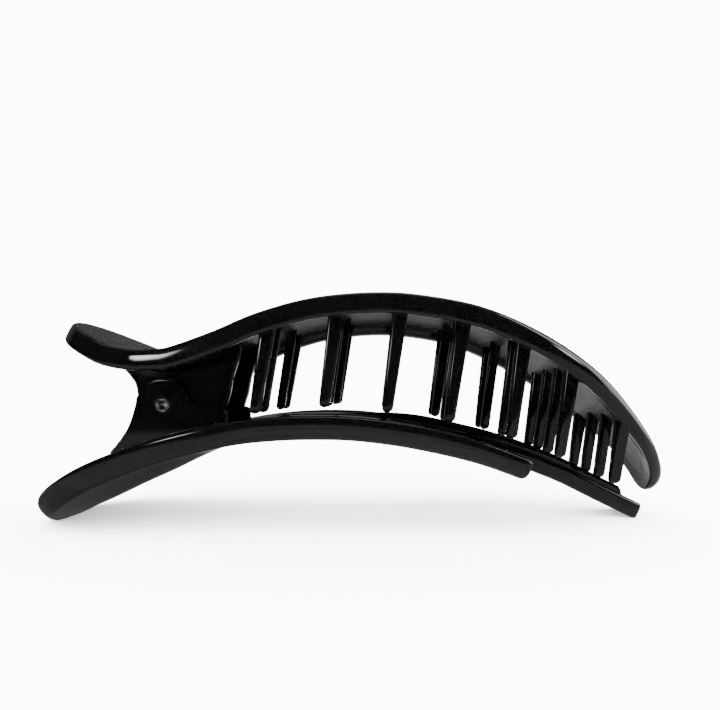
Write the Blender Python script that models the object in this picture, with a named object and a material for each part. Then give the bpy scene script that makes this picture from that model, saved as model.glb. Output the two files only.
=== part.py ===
# Flat claw hair clip: two moulded jaws on a steel pin, with a torsion spring between the ears.
# Sizes below are millimetres, X along the clip, Y across it, Z up from the floor.
import math

import bmesh
import bpy
import numpy as np
from mathutils import Vector

MM = 0.001
NAME = "hair_clip"

# Length datum: the profile tables are measured from the view axis, the clip is centred afterwards.
SHIFT_X = 5.275

# Upper jaw, edge line of the shell in side view, from the handle's end to the nose.
UPPER_EDGE = (
    ("x", "z"),
    (-63.2, 41.2), (-57.6, 38.35), (-52.5, 36.0), (-49.2, 34.65), (-44.9, 33.95),
    (-41.6, 34.02), (-38.3, 34.4), (-30.6, 37.1), (-22.5, 40.45), (-12.6, 43.15),
    (-1.8, 44.2), (7.8, 43.7), (19.8, 41.2), (32.7, 35.35), (43.8, 27.8), (53.7, 17.8),
    (58.0, 10.9), (59.3, 5.9),
)
# Half width of the shell against distance back from the nose along the shell.
NOSE_TAPER = (
    ("back", "half"),
    (0.0, 0.0), (0.7, 2.7), (2.4, 4.7), (5.2, 6.5), (9.2, 8.4), (14.3, 10.6),
    (20.7, 13.2), (28.4, 16.2), (34.7, 18.0), (41.8, 19.35), (50.0, 20.0), (56.0, 20.0),
)
HALF_WIDTH = 20.0
HANDLE_RADIUS = 20.0
NOSE_RADIUS = 8.0
PLATE = 1.8
RIM_TALL = 3.9
RIM_WIDE = 3.0
CROWN_MID = 1.5
CROWN_HANDLE = 0.3
# Towards the nose the plate thickens and the rim gets lower, until the underside is nearly plain.
NOSE_PLATE = 1.8
NOSE_DROP = 0.8

# Lower jaw, upper edge line in side view, from the handle's end to the front of the outer prongs.
LOWER_EDGE = (
    ("x", "z"),
    (-70.2, 1.9), (-66.3, 5.5), (-61.5, 8.7), (-55.0, 12.4), (-48.5, 15.2),
    (-40.7, 17.9), (-30.5, 20.3), (-21.2, 21.5), (-12.0, 21.85), (-3.0, 21.5),
    (8.0, 19.9), (18.0, 17.3), (27.6, 13.4),
)
# Centre prong, upper line in side view.
CENTRE_EDGE = (
    ("x", "z"),
    (-30.5, 20.2), (-21.2, 21.4), (-12.0, 21.75), (-3.0, 21.4), (8.0, 19.9), (20.6, 17.1),
    (28.9, 14.6), (38.0, 11.0), (45.8, 6.9), (52.0, 2.82), (53.6, 1.65),
)
LOWER_THICK = 4.35
LOWER_CREASE = 0.25
LOWER_DOME = 2.6
LOWER_RECESS = 1.6
SPLIT_X = -20.0
OUTER_PRONG_INNER_Y = 13.0
CENTRE_PRONG_HALF = 5.25
CENTRE_THICK_ROOT = 3.9
CENTRE_THICK_TIP = 3.3
CENTRE_SOFT = 0.4
PRONG_END = 1.3
JOIN_STEP = 0.06
RIB_HALF = 1.25
RIB_TALL = 1.5
RIB_FULL_X = 10.0
RIB_START_X = -12.0
RIB_END_X = 52.0

# Teeth: side-view centres of the tip and of the root, and the rows across.
TEETH = (
    ("tip_x", "tip_z", "root_x", "root_z", "outer_y", "inner_y"),
    (-23.3, 22.1, -20.95, 37.2, 16.5, 9.5),
    (-10.4, 23.3, -8.25, 39.8, 16.5, 9.5),
    (1.3, 22.35, 3.7, 40.2, 16.5, 9.5),
    (12.8, 20.5, 15.4, 38.5, 16.5, 9.5),
    (24.35, 17.5, 26.5, 34.1, 16.5, 9.5),
    (35.05, 13.35, 37.2, 28.0, 11.3, 3.7),
    (45.7, 8.3, 47.1, 18.2, 11.3, 3.7),
)
OUTER_ROOT_X = 3.0
INNER_ROOT_X = 2.3
TOOTH_TIP_X = 2.05
TOOTH_ROOT_Y = 2.4
TOOTH_TIP_Y = 1.7
TOOTH_SIDES = 8

# Hinge
PIN_X = -42.8
PIN_Z = 23.6
PIN_RADIUS = 0.95
PIN_HALF = 10.5
GAP = 0.3
CHAMFER = 0.3
UPPER_EAR_Y = 6.6
UPPER_EAR_THICK = 2.0
LOWER_EAR_Y = UPPER_EAR_Y + UPPER_EAR_THICK + GAP
LOWER_EAR_THICK = 2.0
UPPER_LOBE = 5.6
LOWER_LOBE = 5.2

# Spring
COIL_RADIUS = 2.4
WIRE_RADIUS = 0.6
COIL_HALF = 4.05
COIL_TURNS = 6
LEG_END_X = -57.5

BLACK = (0.012, 0.012, 0.013)
STEEL = (0.50, 0.49, 0.47)


def rows(table):
    """Numbers of a table without its line of column names."""
    return np.array(table[1:], float)


def smooth_line(points, per_span=16, before=None):
    """Catmull-Rom line through the points, as x, z, tangent and distance along."""
    first = 2 * points[0] - points[1] if before is None else np.array(before, float)
    last = 2 * points[-1] - points[-2]
    p = np.vstack([first, points, last])
    t = np.linspace(0, 1, per_span, endpoint=False)[:, None]
    parts = []
    for i in range(1, len(p) - 2):
        a, b, c, d = p[i - 1], p[i], p[i + 1], p[i + 2]
        parts.append(0.5 * (2 * b + (c - a) * t + (2 * a - 5 * b + 4 * c - d) * t ** 2
                            + (3 * b - a - 3 * c + d) * t ** 3))
    line = np.vstack(parts + [points[-1:]])
    along = np.concatenate([[0], np.cumsum(np.linalg.norm(np.diff(line, axis=0), axis=1))])
    return Line(line, along)


class Line:
    """A side-view line that gives points, slopes and distances along it."""

    def __init__(self, line, along):
        self.line = line
        self.along = along
        self.length = along[-1]
        step = np.gradient(line, along, axis=0)
        self.tangent = step / np.linalg.norm(step, axis=1)[:, None]

    def at(self, s):
        x = np.interp(s, self.along, self.line[:, 0])
        z = np.interp(s, self.along, self.line[:, 1])
        tx = np.interp(s, self.along, self.tangent[:, 0])
        tz = np.interp(s, self.along, self.tangent[:, 1])
        n = math.hypot(tx, tz)
        return x, z, tx / n, tz / n

    def lift(self, s, y, h):
        x, z, tx, tz = self.at(s)
        return (x - tz * h, y, z + tx * h)

    def s_of_x(self, x):
        keep = int(np.argmax(self.line[:, 0])) + 1
        return float(np.interp(x, self.line[:keep, 0], self.along[:keep]))


UPPER = smooth_line(rows(UPPER_EDGE))
LOWER = smooth_line(rows(LOWER_EDGE))
CENTRE = smooth_line(rows(CENTRE_EDGE))
NOSE = smooth_line(rows(NOSE_TAPER), before=(0.7, -2.7))


def ease(value, low, high):
    """Smooth step from 0 at low to 1 at high."""
    t = min(1.0, max(0.0, (value - low) / (high - low)))
    return t * t * (3 - 2 * t)


def upper_crown(s):
    x = UPPER.at(s)[0]
    return CROWN_HANDLE + (CROWN_MID - CROWN_HANDLE) * ease(x, -45, -15) * (1 - 0.5 * ease(x, 25, 58))


def upper_half(s):
    half = float(np.interp(UPPER.length - s, NOSE.line[:, 0], NOSE.line[:, 1]))
    return min(half, HALF_WIDTH)


def nose_points(steps):
    """Outline of the nose ahead of the middle line's end, from the side to the tip."""
    whole = float(np.interp(NOSE_RADIUS, NOSE.line[:, 0], NOSE.along))
    out = []
    for i in range(1, steps + 1):
        back, half, _, _ = NOSE.at(whole * (1 - i / steps))
        out.append((UPPER.length - back, half, UPPER.length - NOSE_RADIUS))
    return out


def lower_dome(s):
    return LOWER_DOME * (1 - ease(LOWER.at(s)[0], -52, -26))


def lower_recess(s):
    return LOWER_RECESS * (1 - ease(LOWER.at(s)[0], -38, -27))


def half_loop(length, half_at, start_radius, end_radius, steps, arc_steps, end=None):
    """Outline points down one side, each with the point of the middle line that it faces."""
    points = []
    start_half = half_at(start_radius)
    for i in range(arc_steps):
        a = math.pi / 2 * i / arc_steps
        points.append((start_radius - start_radius * math.cos(a), start_half * math.sin(a),
                       start_radius))
    for i in range(steps + 1):
        s = start_radius + (length - end_radius - start_radius) * i / steps
        points.append((s, half_at(s), s))
    if end is not None:
        return points + end
    end_half = half_at(length - end_radius)
    for i in range(1, arc_steps + 1):
        a = math.pi / 2 * i / arc_steps
        points.append((length - end_radius + end_radius * math.sin(a), end_half * math.cos(a),
                       length - end_radius))
    return points


def full_loop(points):
    """The side's outline closed by its mirror image."""
    near = [(s, -y, c) for s, y, c in points]
    far = [(s, y, c) for s, y, c in points[1:-1]]
    return near + far[::-1]


def mesh_object(name, verts, faces, collection):
    mesh = bpy.data.meshes.new(name)
    mesh.from_pydata([(v[0] * MM, v[1] * MM, v[2] * MM) for v in verts], [], faces)
    work = bmesh.new()
    work.from_mesh(mesh)
    bmesh.ops.remove_doubles(work, verts=work.verts, dist=1e-6)
    bmesh.ops.dissolve_degenerate(work, edges=work.edges, dist=1e-7)
    bmesh.ops.recalc_face_normals(work, faces=work.faces)
    work.to_mesh(mesh)
    work.free()
    obj = bpy.data.objects.new(name, mesh)
    collection.objects.link(obj)
    return obj


def sheet(name, line, loop, section, collection, middle_y=0.0):
    """Closed body: a cross-section carried round an outline that lies on a curved sheet.

    section(reach, centre) gives the (inward fraction, height) list from underside to top.
    """
    verts = []
    count = len(loop)
    width = 0
    for s, y, centre in loop:
        reach = math.hypot(s - centre, y)
        ring = section(reach, centre)
        width = len(ring)
        for inward, height in ring:
            f = 1 - inward
            where = centre + (s - centre) * f
            verts.append(line.lift(where, middle_y + y * f, height))
    faces = []
    for i in range(count):
        j = (i + 1) % count
        for k in range(width - 1):
            faces.append((i * width + k, j * width + k, j * width + k + 1, i * width + k + 1))
    return mesh_object(name, verts, faces, collection)


def rim_tall(x):
    return RIM_TALL - NOSE_DROP * ease(x, 46, 58)


def plate_thick(x):
    return min(PLATE + NOSE_PLATE * ease(x, 22, 50), rim_tall(x) - 0.1)


def rim_ring(plate, tall):
    """Rim section as (distance inward, height), from the plate's underside round to the top."""
    step = max(0.05, (tall - plate) / (RIM_TALL - PLATE))
    ring = [(RIM_WIDE + 0.7, -plate), (RIM_WIDE + 0.15, -plate - 0.25 * step)]
    ring += [(RIM_WIDE, -plate - 0.7 * step), (RIM_WIDE - 0.1, -tall + 0.9 * step)]
    ring += [(RIM_WIDE - 0.35, -tall + 0.3 * step), (RIM_WIDE - 1.0, -tall)]
    ring += [(1.1, -tall), (0.4, -tall + 0.28)]
    ring += [(0.0, -tall + 1.1), (0.0, -1.2), (0.3, -0.4), (1.1, 0.0)]
    return ring


def upper_section(reach, centre):
    crown = upper_crown(centre)
    x = UPPER.at(centre)[0]
    plate = plate_thick(x)
    scale = min(1.0, reach / 7.0)
    out = []
    inner = 1 - (RIM_WIDE + 0.7) * scale / reach
    for f in (0.0, 0.5):
        out.append((1 - inner * f, -plate + crown * (1 - (inner * f) ** 2)))
    for d, h in rim_ring(plate, rim_tall(x)):
        f = 1 - d * scale / reach
        out.append((d * scale / reach, h + crown * (1 - f * f)))
    inner = 1 - 1.1 * scale / reach
    for f in (0.72, 0.38, 0.0):
        out.append((1 - inner * f, crown * (1 - (inner * f) ** 2)))
    return out


def lower_ring(soft):
    """Edge section of the lower jaw, from the underside round to the top.

    The share soft of the large lower rounding is left: all of it on the prongs, little on the
    handle, whose side edge is a crease.
    """
    t = LOWER_THICK
    ring = [(2.6 * soft, -t), (1.7 * soft, -t + 0.12 * soft), (0.95 * soft, -t + 0.55 * soft)]
    ring += [(0.38 * soft, -t + 1.25 * soft), (0.0, -t + 2.4 * soft)]
    ring += [(0.0, -0.8), (0.25, -0.25), (0.8, 0.0)]
    return ring


def lower_section(reach, centre):
    dome = lower_dome(centre)
    recess = lower_recess(centre)
    soft = LOWER_CREASE + (1 - LOWER_CREASE) * ease(LOWER.at(centre)[0], -36, -24)
    out = []
    inner = 1 - 2.6 * soft / reach
    for f in (0.0, 0.35, 0.7):
        out.append((1 - inner * f, -LOWER_THICK - dome * (1 - (inner * f) ** 2)))
    for d, h in lower_ring(soft):
        f = 1 - d / reach
        low = -dome * (1 - f * f) if h < -1.5 else 0.0
        out.append((d / reach, h + low))
    out.append((2.4 / reach, 0.0))
    out.append((3.0 / reach, -recess * 0.35))
    out.append((3.5 / reach, -recess * 0.95 - 0.8 * dome * (1 - (1 - 3.5 / reach) ** 2)))
    inner = 1 - 3.5 / reach
    for f in (0.5, 0.0):
        out.append((1 - inner * f, -recess - 0.8 * dome * (1 - (inner * f) ** 2)))
    return out


def prong_section(thick_at, soft):
    """Section of a prong: the lower jaw's own edge, drawn in for a thinner prong."""
    def section(reach, centre):
        t = thick_at(centre)
        size = min(1.0, reach * 0.75 / 2.6)
        out = [(1.0, -t)]
        for d, h in lower_ring(soft):
            low = min(1.0, t / LOWER_THICK)
            level = h * low if h < -0.5 else h * size
            out.append((d * size / reach, max(level, -t)))
        out.append((1.0, 0.0))
        return out
    return section


def rib_section(reach, centre):
    """Section of the rib: straight sides under a rounded top that rises slowly and ends steeply."""
    x = CENTRE.at(centre)[0]
    top = RIB_TALL * ease(x, RIB_START_X, RIB_FULL_X) * (1 - ease(x, 49.3, 51.0)) - 0.05
    low = -1.2
    return [(1.0, low), (0.0, low), (0.0, top - 0.6), (0.12, top - 0.25), (0.4, top - 0.05),
            (1.0, top)]


def plate_side(name, outline, y0, y1, collection):
    """Flat plate with the side-view outline, between two distances across."""
    count = len(outline)
    verts = [(x, y0, z) for x, z in outline] + [(x, y1, z) for x, z in outline]
    faces = [tuple(range(count)), tuple(range(2 * count - 1, count - 1, -1))]
    for i in range(count):
        j = (i + 1) % count
        faces.append((i, i + count, j + count, j))
    return mesh_object(name, verts, faces, collection)


def arc_points(cx, cz, radius, start, end, steps):
    out = []
    for i in range(steps + 1):
        a = math.radians(start + (end - start) * i / steps)
        out.append((cx + radius * math.cos(a), cz + radius * math.sin(a)))
    return out


def upper_mid(x, y):
    """Point half way through the upper plate above (x, y)."""
    aim = x
    for _ in range(6):
        s = UPPER.s_of_x(aim)
        f = min(1.0, abs(y) / upper_half(s))
        point = UPPER.lift(s, y, -PLATE / 2 + upper_crown(s) * (1 - f * f))
        aim += x - point[0]
    return point


def lower_mid(x, y):
    """Point half way through the lower plate below (x, y)."""
    s = LOWER.s_of_x(x)
    f = min(1.0, abs(y) / HALF_WIDTH)
    top = -lower_recess(s) - 0.8 * lower_dome(s) * (1 - f * f)
    bottom = -LOWER_THICK - lower_dome(s) * (1 - f * f)
    return LOWER.lift(s, y, (top + bottom) / 2)


def upper_ear_outline():
    y = UPPER_EAR_Y + UPPER_EAR_THICK / 2
    left = [(-52.6, 32.6), (-51.3, 30.7), (-50.5, 29.9), (-49.3, 28.3), (-48.7, 25.8)]
    lobe = arc_points(PIN_X, PIN_Z, UPPER_LOBE, 170, 290, 10)
    front = [(-36.0, 20.2), (-32.6, 21.6), (-31.25, 22.95), (-30.25, 25.95), (-29.6, 29.6),
             (-28.4, 33.3)]
    top = [upper_mid(x, y) for x in np.linspace(-27.8, -52.6, 9)]
    return left + lobe + front + [(p[0], p[2]) for p in top]


def lower_ear_outline():
    y = LOWER_EAR_Y + LOWER_EAR_THICK / 2
    lobe = arc_points(PIN_X, PIN_Z, LOWER_LOBE, 155, 8, 15)
    front = [(-36.6, 23.9), (-31.6, 22.95), (-30.8, 22.7), (-30.4, 22.2), (-30.4, 20.5)]
    bottom = [lower_mid(x, y) for x in np.linspace(-30.2, -54.5, 9)]
    left = [(-53.2, 14.5), (-51.0, 16.9), (-49.8, 18.75), (-49.1, 20.4), (-48.15, 23.65)]
    return left + lobe + front + [(p[0], p[2]) for p in bottom]


def tooth(name, tip_x, tip_z, root_x, root_z, y, root_wide, collection):
    """Tapered tooth with a rounded tip, its root sunk half way into the plate."""
    lean = (root_x - tip_x) / (root_z - tip_z)
    top_x = root_x
    top_z = root_z
    for _ in range(12):
        p = upper_mid(top_x, y)
        top_z = p[2]
        top_x = tip_x + lean * (top_z - tip_z)
    length = top_z - tip_z
    rings = []
    for share, size in ((0.0, 0.0), (0.12, 0.5), (0.45, 0.87), (1.0, 1.0)):
        rings.append((share * TOOTH_TIP_X * 0.5, size))
    rings.append((length - 2.6, 1.0))
    rings.append((length, 1.0))
    verts = []
    for height, size in rings:
        t = height / length
        half_x = (TOOTH_TIP_X + (root_wide - TOOTH_TIP_X) * t) / 2 * size
        half_y = (TOOTH_TIP_Y + (TOOTH_ROOT_Y - TOOTH_TIP_Y) * t) / 2 * size
        for i in range(TOOTH_SIDES):
            a = 2 * math.pi * (i + 0.5) / TOOTH_SIDES
            c = math.copysign(abs(math.cos(a)) ** 0.5, math.cos(a))
            d = math.copysign(abs(math.sin(a)) ** 0.5, math.sin(a))
            x = tip_x + lean * height + half_x * c
            z = tip_z + height
            if height > length - 3.0:
                under = upper_mid(x, y + half_y * d)[2] - (0.0 if height == length else 2.6)
                z = under
                x += lean * (under - tip_z - height)
            verts.append((x, y + half_y * d, z))
    faces = []
    for r in range(len(rings) - 1):
        for i in range(TOOTH_SIDES):
            j = (i + 1) % TOOTH_SIDES
            a = r * TOOTH_SIDES
            faces.append((a + i, a + j, a + TOOTH_SIDES + j, a + TOOTH_SIDES + i))
    last = (len(rings) - 1) * TOOTH_SIDES
    faces.append(tuple(last + i for i in range(TOOTH_SIDES)))
    return mesh_object(name, verts, faces, collection)


def round_y(name, x, z, stations, sides, collection):
    """Round body along Y through stations of (distance across, radius)."""
    verts = []
    for y, r in stations:
        for i in range(sides):
            a = 2 * math.pi * (i + 0.5) / sides
            verts.append((x + r * math.cos(a), y, z + r * math.sin(a)))
    last = len(verts) - sides
    faces = [tuple(range(sides)), tuple(range(len(verts) - 1, last - 1, -1))]
    for base in range(0, last, sides):
        for i in range(sides):
            j = (i + 1) % sides
            faces.append((base + i, base + i + sides, base + j + sides, base + j))
    return mesh_object(name, verts, faces, collection)


def box(name, x0, x1, y0, y1, z0, z1, collection):
    verts = [(x, y, z) for x in (x0, x1) for y in (y0, y1) for z in (z0, z1)]
    faces = [(0, 1, 3, 2), (4, 6, 7, 5), (0, 4, 5, 1), (2, 3, 7, 6), (0, 2, 6, 4), (1, 5, 7, 3)]
    return mesh_object(name, verts, faces, collection)


def combine(target, tool, operation):
    """Applies one exact Boolean and puts the tool away as a wire cutter."""
    change = target.modifiers.new(operation.lower(), "BOOLEAN")
    change.operation = operation
    change.solver = "EXACT"
    change.object = tool
    bpy.context.view_layer.update()
    graph = bpy.context.evaluated_depsgraph_get()
    mesh = bpy.data.meshes.new_from_object(target.evaluated_get(graph))
    target.modifiers.clear()
    old = target.data
    target.data = mesh
    bpy.data.meshes.remove(old)
    tool.hide_render = True
    tool.display_type = "WIRE"


def join(name, objects, collection):
    """Several separate closed bodies as one object."""
    verts = []
    faces = []
    for obj in objects:
        base = len(verts)
        verts += [tuple(v.co / MM) for v in obj.data.vertices]
        faces += [tuple(base + i for i in p.vertices) for p in obj.data.polygons]
        bpy.data.objects.remove(obj, do_unlink=True)
    return mesh_object(name, verts, faces, collection)


def material(name, colour, metallic, roughness):
    mat = bpy.data.materials.new(name)
    mat.use_nodes = True
    shader = mat.node_tree.nodes["Principled BSDF"]
    shader.inputs["Base Color"].default_value = (*colour, 1.0)
    shader.inputs["Metallic"].default_value = metallic
    shader.inputs["Roughness"].default_value = roughness
    return mat


def finish(obj, mat, origin):
    """Centres the clip, moves the origin, cleans the mesh and shades it smooth."""
    shift = Vector((SHIFT_X * MM, 0.0, 0.0))
    place = Vector(origin) * MM + shift
    work = bmesh.new()
    work.from_mesh(obj.data)
    bmesh.ops.translate(work, verts=work.verts, vec=shift - place)
    bmesh.ops.remove_doubles(work, verts=work.verts, dist=2e-6)
    bmesh.ops.dissolve_degenerate(work, edges=work.edges, dist=1e-6)
    bmesh.ops.triangulate(work, faces=[f for f in work.faces if len(f.verts) > 4])
    bmesh.ops.recalc_face_normals(work, faces=work.faces)
    work.to_mesh(obj.data)
    work.free()
    obj.location = place
    obj.data.materials.clear()
    obj.data.materials.append(mat)
    obj.data.polygons.foreach_set("use_smooth", [True] * len(obj.data.polygons))


def build_upper(parts, cutters):
    points = half_loop(UPPER.length, upper_half, HANDLE_RADIUS, NOSE_RADIUS, 21, 7,
                       nose_points(6))
    jaw = sheet("upper_jaw", UPPER, full_loop(points), upper_section, parts)
    pegs = []
    for row in rows(TEETH):
        tip_x, tip_z, root_x, root_z, outer_y, inner_y = row
        for y, wide in ((outer_y, OUTER_ROOT_X), (inner_y, INNER_ROOT_X)):
            for side in (-1, 1):
                pegs.append(tooth("tooth", tip_x, tip_z, root_x, root_z, side * y, wide, cutters))
    combine(jaw, join("teeth", pegs, cutters), "UNION")
    outline = upper_ear_outline()
    ears = [plate_side("ear", outline, side * UPPER_EAR_Y, side * (UPPER_EAR_Y + UPPER_EAR_THICK),
                       cutters) for side in (-1, 1)]
    combine(jaw, join("upper_ears", ears, cutters), "UNION")
    reach = UPPER_EAR_Y + UPPER_EAR_THICK + 1
    stations = [(-reach, PIN_RADIUS + GAP), (reach, PIN_RADIUS + GAP)]
    combine(jaw, round_y("upper_bore", PIN_X, PIN_Z, stations, 24, cutters), "DIFFERENCE")
    return jaw


def build_lower(parts, cutters):
    length = LOWER.s_of_x(SPLIT_X)
    points = half_loop(length, lambda s: HALF_WIDTH, HANDLE_RADIUS, 3.6, 18, 7)
    jaw = sheet("lower_jaw", LOWER, full_loop(points), lower_section, parts)
    start = LOWER.s_of_x(-31.0)
    middle = (HALF_WIDTH + OUTER_PRONG_INNER_Y) / 2
    half = (HALF_WIDTH - OUTER_PRONG_INNER_Y) / 2 - JOIN_STEP
    prong = shifted(half_loop(LOWER.length - start, lambda s: half, 2.5, PRONG_END, 17, 4),
                    start)
    section = prong_section(lambda s: LOWER_THICK - 2 * JOIN_STEP, 1.0)
    for side in (-1, 1):
        part = sheet("outer_prong", dropped(LOWER), full_loop(prong), section, cutters,
                     side * middle)
        combine(jaw, part, "UNION")
    start = CENTRE.s_of_x(-29.0)
    prong = shifted(half_loop(CENTRE.length - start, lambda s: CENTRE_PRONG_HALF, 2.5, PRONG_END,
                              24, 4), start)
    section = prong_section(centre_thick, CENTRE_SOFT)
    part = sheet("centre_prong", CENTRE, full_loop(prong), section, cutters)
    combine(jaw, part, "UNION")
    first = CENTRE.s_of_x(RIB_START_X)
    last = CENTRE.s_of_x(RIB_END_X)
    rib = shifted(half_loop(last - first, lambda s: RIB_HALF, 1.2, 1.2, 18, 2), first)
    part = sheet("rib", CENTRE, full_loop(rib), rib_section, cutters)
    combine(jaw, part, "UNION")
    outline = lower_ear_outline()
    ears = [plate_side("ear", outline, side * LOWER_EAR_Y, side * (LOWER_EAR_Y + LOWER_EAR_THICK),
                       cutters) for side in (-1, 1)]
    combine(jaw, join("lower_ears", ears, cutters), "UNION")
    reach = LOWER_EAR_Y + LOWER_EAR_THICK
    radius = PIN_RADIUS + GAP
    wide = radius + CHAMFER + 1.0
    stations = [(-reach - 1.0, wide), (CHAMFER - reach, radius),
                (reach - CHAMFER, radius), (reach + 1.0, wide)]
    combine(jaw, round_y("lower_bore", PIN_X, PIN_Z, stations, 24, cutters), "DIFFERENCE")
    floor = box("floor_cut", -90, 80, -40, 40, -20, 0.0, cutters)
    combine(jaw, floor, "DIFFERENCE")
    return jaw


def centre_thick(s):
    return CENTRE_THICK_ROOT + (CENTRE_THICK_TIP - CENTRE_THICK_ROOT) * ease(CENTRE.at(s)[0], 10, 54)


def shifted(points, start):
    """The outline moved along the line."""
    return [(s + start, y, c + start) for s, y, c in points]


def dropped(line):
    """The line moved down along its own normal by the joining step."""
    down = np.stack([line.tangent[:, 1], -line.tangent[:, 0]], axis=1)
    return Line(line.line + JOIN_STEP * down, line.along)


def build_pin(parts):
    edge = 0.2
    stations = [(-PIN_HALF, PIN_RADIUS - edge), (edge * 0.8 - PIN_HALF, PIN_RADIUS),
                (PIN_HALF - edge * 0.8, PIN_RADIUS), (PIN_HALF, PIN_RADIUS - edge)]
    return round_y("hinge_pin", PIN_X, PIN_Z, stations, 24, parts)


def leg_ends():
    """Free ends of the two legs, resting just off the handles' inner faces."""
    clear = WIRE_RADIUS + GAP
    s = LOWER.s_of_x(LEG_END_X)
    top = -lower_recess(s) - 0.8 * lower_dome(s)
    low = LOWER.lift(s, 0.0, top + clear)
    s = UPPER.s_of_x(LEG_END_X + 1.0)
    high = UPPER.lift(s, 0.0, -PLATE + upper_crown(s) - clear - 0.15)
    return (low[0], low[2]), (high[0], high[2])


def build_spring(parts):
    """Coil round the pin with one leg to each handle."""
    low, high = leg_ends()
    a_low = math.atan2(low[1] - PIN_Z, low[0] - PIN_X)
    d_low = math.hypot(low[1] - PIN_Z, low[0] - PIN_X)
    a_high = math.atan2(high[1] - PIN_Z, high[0] - PIN_X)
    d_high = math.hypot(high[1] - PIN_Z, high[0] - PIN_X)
    start = a_low + math.acos(COIL_RADIUS / d_low)
    end = a_high - math.acos(COIL_RADIUS / d_high)
    while end < start + 2 * math.pi * (COIL_TURNS - 1):
        end += 2 * math.pi
    steps = int(round((end - start) / (2 * math.pi / 14)))
    points = [(low[0], -COIL_HALF, low[1])]
    for i in range(steps + 1):
        a = start + (end - start) * i / steps
        y = -COIL_HALF + 2 * COIL_HALF * i / steps
        points.append((PIN_X + COIL_RADIUS * math.cos(a), y, PIN_Z + COIL_RADIUS * math.sin(a)))
    points.append((high[0], COIL_HALF, high[1]))
    curve = bpy.data.curves.new("torsion_spring", "CURVE")
    curve.dimensions = "3D"
    curve.bevel_depth = WIRE_RADIUS * MM
    curve.bevel_resolution = 2
    curve.use_fill_caps = True
    spline = curve.splines.new("POLY")
    spline.points.add(len(points) - 1)
    for point, place in zip(spline.points, points):
        point.co = (place[0] * MM, place[1] * MM, place[2] * MM, 1.0)
    holder = bpy.data.objects.new("wire", curve)
    parts.objects.link(holder)
    bpy.context.view_layer.update()
    graph = bpy.context.evaluated_depsgraph_get()
    mesh = bpy.data.meshes.new_from_object(holder.evaluated_get(graph))
    bpy.data.objects.remove(holder, do_unlink=True)
    spring = bpy.data.objects.new("torsion_spring", mesh)
    parts.objects.link(spring)
    return spring


def main():
    for obj in list(bpy.data.objects):
        bpy.data.objects.remove(obj, do_unlink=True)
    parts = bpy.data.collections.new(NAME)
    cutters = bpy.data.collections.new("cutters")
    bpy.context.scene.collection.children.link(parts)
    bpy.context.scene.collection.children.link(cutters)
    black = material("black_gloss_plastic", BLACK, 0.0, 0.12)
    steel = material("spring_steel", STEEL, 1.0, 0.3)
    pin_at = (PIN_X, 0.0, PIN_Z)
    finish(build_upper(parts, cutters), black, pin_at)
    finish(build_lower(parts, cutters), black, (-SHIFT_X, 0.0, 0.0))
    finish(build_pin(parts), steel, pin_at)
    finish(build_spring(parts), steel, pin_at)


main()
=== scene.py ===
"""Long curved hair claw clip in gloss black plastic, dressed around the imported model.

Lengths in the tables are millimetres in side view: x along the clip, z up from the floor, and the
clip's middle plane is y = 0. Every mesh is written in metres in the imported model's frame.
"""

import logging
import math
from dataclasses import dataclass, field
from enum import Enum
from typing import Callable

import bmesh
import bpy
import numpy as np
from numpy.typing import NDArray
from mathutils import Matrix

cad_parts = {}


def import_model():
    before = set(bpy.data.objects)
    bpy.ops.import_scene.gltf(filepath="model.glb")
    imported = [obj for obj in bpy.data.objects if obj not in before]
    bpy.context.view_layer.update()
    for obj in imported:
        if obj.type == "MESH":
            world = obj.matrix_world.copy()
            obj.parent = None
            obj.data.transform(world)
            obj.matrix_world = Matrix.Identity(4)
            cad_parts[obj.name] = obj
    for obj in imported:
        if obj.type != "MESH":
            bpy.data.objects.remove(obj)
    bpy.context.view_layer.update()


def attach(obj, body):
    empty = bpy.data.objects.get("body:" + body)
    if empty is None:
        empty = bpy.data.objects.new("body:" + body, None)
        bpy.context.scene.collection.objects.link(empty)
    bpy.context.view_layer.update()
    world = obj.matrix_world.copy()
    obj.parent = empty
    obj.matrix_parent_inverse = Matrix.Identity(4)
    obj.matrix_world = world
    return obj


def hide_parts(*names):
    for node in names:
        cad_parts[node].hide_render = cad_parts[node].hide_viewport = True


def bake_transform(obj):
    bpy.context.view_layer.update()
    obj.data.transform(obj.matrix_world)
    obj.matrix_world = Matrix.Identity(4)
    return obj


Array = NDArray[np.float64]
Mesh = tuple[Array, Array]
Pair = tuple[float, float]
Triple = tuple[float, float, float]
LOG = logging.getLogger("hair_clip")
MM = 0.001
SHIFT_X = 5.275
WHITE = (1.0, 1.0, 1.0, 1.0)

# Shares of the way from the middle line to the rim, where a plate's faces have their points
PLATE_SHARES = (0.0, 0.25, 0.5, 0.75, 0.93)
# Corner cutting makes about four points of each point on a section
CUT_POINTS = 4


class Half(Enum):
    """The two bodies that the hinge joins."""

    LOWER = "lower_half"
    UPPER = "upper_half"


class Slot(Enum):
    """The record's material slots."""

    PLASTIC = "black_plastic"
    STEEL = "steel"


# Side-view lines and small helpers

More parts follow.
